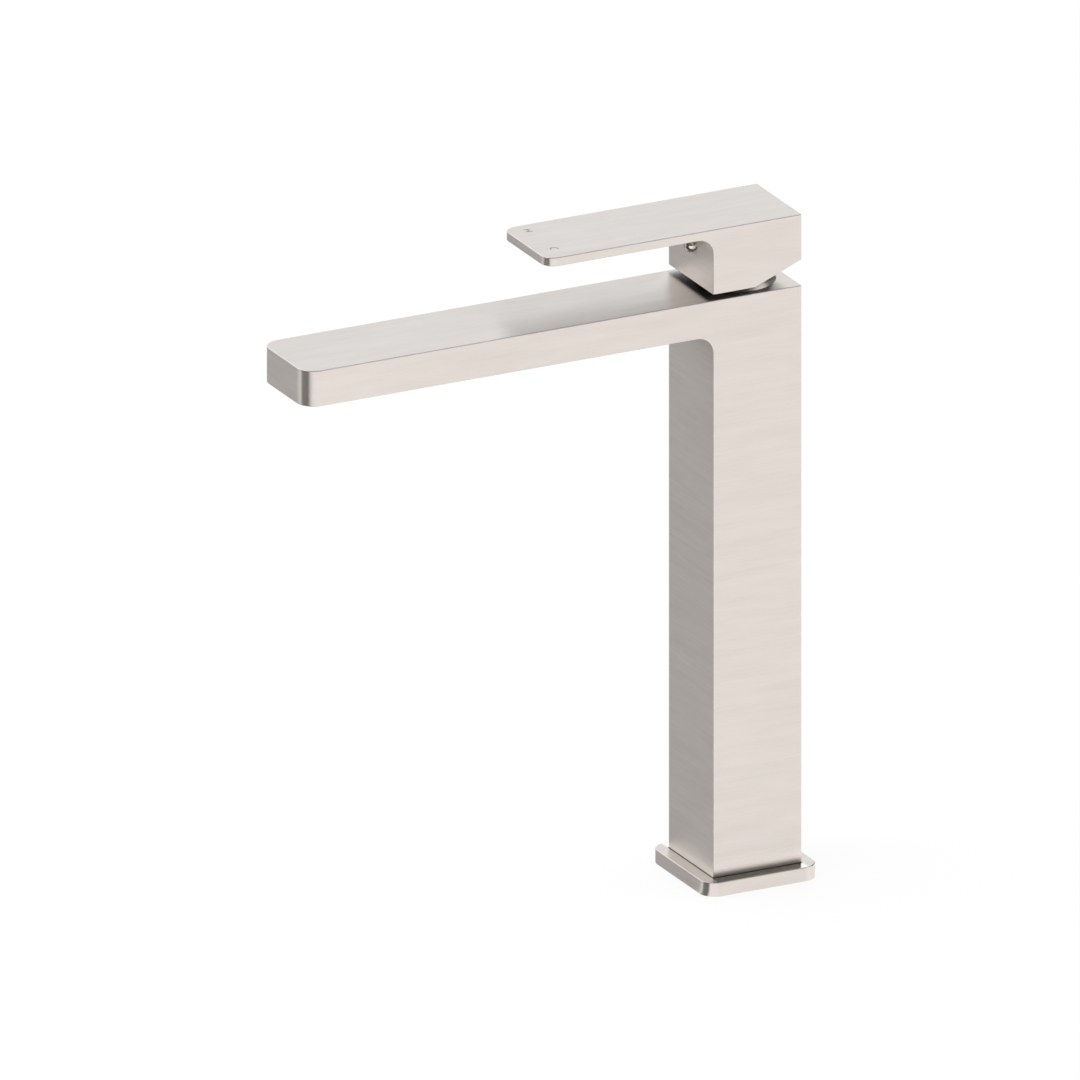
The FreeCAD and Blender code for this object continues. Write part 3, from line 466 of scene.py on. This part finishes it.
ink = mark_print()
bow = np.linspace(*np.radians(BOW_ENDS), BOW_POINTS)
letters = {
    "hot_mark": (HOT_X, [[(-0.5, -0.5), (-0.5, 0.5)], [(0.5, -0.5), (0.5, 0.5)], [(-0.5, 0), (0.5, 0)]]),
    "cold_mark": (COLD_X, [np.stack([0.5 * np.cos(bow), 0.5 * np.sin(bow)], axis=1)]),
}
for name, (centre, strokes) in letters.items():
    mark = ribbon_letter(name, strokes, centre)
    mark.data.materials.append(ink)
    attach(mark, "lever")

# ---- The studio ----
# A plain pale floor and a plain room. Where the metal mirrors them, the floor is white to the right and
# grey to the left, with dark bands in front and at the back left. The room is dark, but for its grey
# ceiling, a bright wall to the left and a narrow one at the back right.
WHITE = (1.0, 1.0, 1.0, 1.0)
COOL_WHITE = (0.925, 0.965, 1.0, 1.0)
PAPER = (0.97, 0.97, 0.97, 1.0)
PAPER_GLOW = 0.85
FLOOR_SEEN, SKY_SEEN, MATT_LIGHT = 1.02, 1.0, 0.9
FLOOR_HALF = 3.0
FLOOR_DROP = 0.0002
FLOOR_CENTRE = (0.021, -0.021, 0.0)
LEFT, BACK_LEFT = (-0.985, -0.174), (-0.682, 0.731)
FRONT, FRONT_RIGHT, BACK_RIGHT = (0.174, -0.985), (0.906, -0.423), (0.574, 0.819)
FLOOR_TONE, ROOM_TONE, CEILING_TONE = 1.24, 0.04, 0.45
HORIZON = (0.02, 0.14)
OVERHEAD = (0.75, 0.95)

# Towards each side: its tone, and the cosines to its direction where that tone begins and is full.
floor_sides = {
    LEFT: (0.310, 0.10, 0.95),
    FRONT: (0.10, 0.885, 0.950),
    FRONT_RIGHT: (1.36, 0.80, 0.93),
    BACK_LEFT: (0.12, 0.88, 0.95),
}
room_sides = {LEFT: (1.41, 0.50, 0.75), BACK_RIGHT: (0.95, 0.90, 0.975)}


def tone_group(name, tone, sides):
    """A node group: a tone for a direction, which changes smoothly to another towards each side."""
    group = bpy.data.node_groups.new(name, "ShaderNodeTree")
    group.interface.new_socket("Direction", in_out="INPUT", socket_type="NodeSocketVector")
    group.interface.new_socket("Tone", in_out="OUTPUT", socket_type="NodeSocketFloat")
    start, end = group.nodes.new("NodeGroupInput"), group.nodes.new("NodeGroupOutput")
    level = add_node(group, "VectorMath", {0: start.outputs[0], 1: (1.0, 1.0, 0.0)}, operation="MULTIPLY")
    heading = add_node(group, "VectorMath", {0: level.outputs[0]}, operation="NORMALIZE").outputs[0]
    for side, (side_tone, low, high) in sides.items():
        facing = add_node(group, "VectorMath", {0: heading, 1: (*side, 0.0)}, operation="DOT_PRODUCT")
        share = ramp(group, facing.outputs["Value"], low, high, "SMOOTHSTEP")
        tone = mix_numbers(group, share, tone, side_tone)
    group.links.new(tone, end.inputs[0])
    return group


floor_tones = tone_group("floor_tones", FLOOR_TONE, floor_sides)
room_tones = tone_group("room_tones", ROOM_TONE, room_sides)


def tone_towards(tree, group, direction):
    """A group's tone towards a direction."""
    return add_node(tree, "Group", {0: direction}, node_tree=group).outputs[0]


def floor_paper():
    """White paper that keeps the shadow, and that the metal sees in the floor's tones."""
    material = bpy.data.materials.new("floor_paper")
    material.use_nodes = True
    tree = material.node_tree
    tree.nodes.clear()
    place = add_node(tree, "TexCoord").outputs["Object"]
    outward = add_node(tree, "VectorMath", {0: place, 1: FLOOR_CENTRE}, operation="SUBTRACT").outputs[0]
    rays = add_node(tree, "LightPath").outputs
    tone = mix_numbers(tree, rays["Is Camera Ray"], tone_towards(tree, floor_tones, outward), FLOOR_SEEN)
    shown = calculate(tree, "MAXIMUM", rays["Is Camera Ray"], rays["Is Glossy Ray"])
    paper = add_node(tree, "BsdfDiffuse", {"Color": PAPER}).outputs[0]
    glow = add_node(tree, "Emission", {"Color": WHITE, "Strength": tone}).outputs[0]
    blend = add_node(tree, "MixShader", {0: product(tree, shown, PAPER_GLOW), 1: paper, 2: glow})
    tree.links.new(blend.outputs[0], add_node(tree, "OutputMaterial").inputs[0])
    return material


def studio_world():
    """The room that the metal sees, with the floor's tones up to the horizon, an even light for matt
    surfaces, and white for the camera."""
    world = bpy.data.worlds.new("studio")
    world.use_nodes = True
    tree = world.node_tree
    tree.nodes.clear()
    direction = add_node(tree, "TexCoord").outputs["Generated"]
    rays = add_node(tree, "LightPath").outputs
    lift = add_node(tree, "SeparateXYZ", {0: direction}).outputs[2]
    above = ramp(tree, lift, *HORIZON, "SMOOTHSTEP")
    overhead = ramp(tree, lift, *OVERHEAD, "SMOOTHSTEP")
    room = mix_numbers(tree, overhead, tone_towards(tree, room_tones, direction), CEILING_TONE)
    mirrored = mix_numbers(tree, above, tone_towards(tree, floor_tones, direction), room)
    strength = mix_numbers(tree, rays["Is Glossy Ray"], MATT_LIGHT, mirrored)
    strength = mix_numbers(tree, rays["Is Camera Ray"], strength, SKY_SEEN)
    cool = product(tree, above, rays["Is Glossy Ray"], room)
    tint = mix_colours(tree, cool, WHITE, COOL_WHITE)
    backdrop = add_node(tree, "Background", {"Color": tint, "Strength": strength})
    tree.links.new(backdrop.outputs[0], add_node(tree, "OutputWorld").inputs[0])
    return world


corners = FLOOR_HALF * np.array([(-1, -1), (1, -1), (1, 1), (-1, 1)])
floor_mesh = bpy.data.meshes.new("floor")
floor_mesh.from_pydata([(x, y, -FLOOR_DROP) for x, y in corners], [], [(0, 1, 2, 3)])
floor_mesh.materials.append(floor_paper())
new_object("floor", floor_mesh)
bpy.context.scene.world = studio_world()

# ---- The lamp ----
# A weak square softbox, high in front and turned to the column, gives the shadow on the floor.
LAMP_PLACE = Vector((-0.25, -0.9, 1.6))
LAMP_TARGET = Vector((0.0, -0.05, 0.1))
LAMP_SIZE = 0.8
LAMP_POWER = 5.0

lamp = bpy.data.lights.new("front_softbox", "AREA")
lamp.size = LAMP_SIZE
lamp.energy = LAMP_POWER
softbox = new_object("front_softbox", lamp)
softbox.location = LAMP_PLACE
softbox.rotation_euler = (LAMP_PLACE - LAMP_TARGET).to_track_quat("Z", "Y").to_euler()
softbox.visible_camera = False

# ---- The camera ----
# The view is from the front right and a little above, and drawn without perspective.
CAMERA_AZIMUTH = math.radians(63.1)
CAMERA_ELEVATION = math.radians(20.5)
CAMERA_AIM = Vector((0.0, -0.0929, 0.1648))
CAMERA_DISTANCE = 2.0
FRAME_SIZE = 0.4586

towards_camera = Vector((
    math.sin(CAMERA_AZIMUTH) * math.cos(CAMERA_ELEVATION),
    -math.cos(CAMERA_AZIMUTH) * math.cos(CAMERA_ELEVATION),
    math.sin(CAMERA_ELEVATION),
))
lens = bpy.data.cameras.new("camera")
lens.type = "ORTHO"
lens.ortho_scale = FRAME_SIZE
camera = new_object("camera", lens)
camera.location = CAMERA_AIM + CAMERA_DISTANCE * towards_camera
camera.rotation_euler = towards_camera.to_track_quat("Z", "Y").to_euler()
bpy.context.scene.camera = camera
bpy.context.scene.view_settings.view_transform = "Standard"
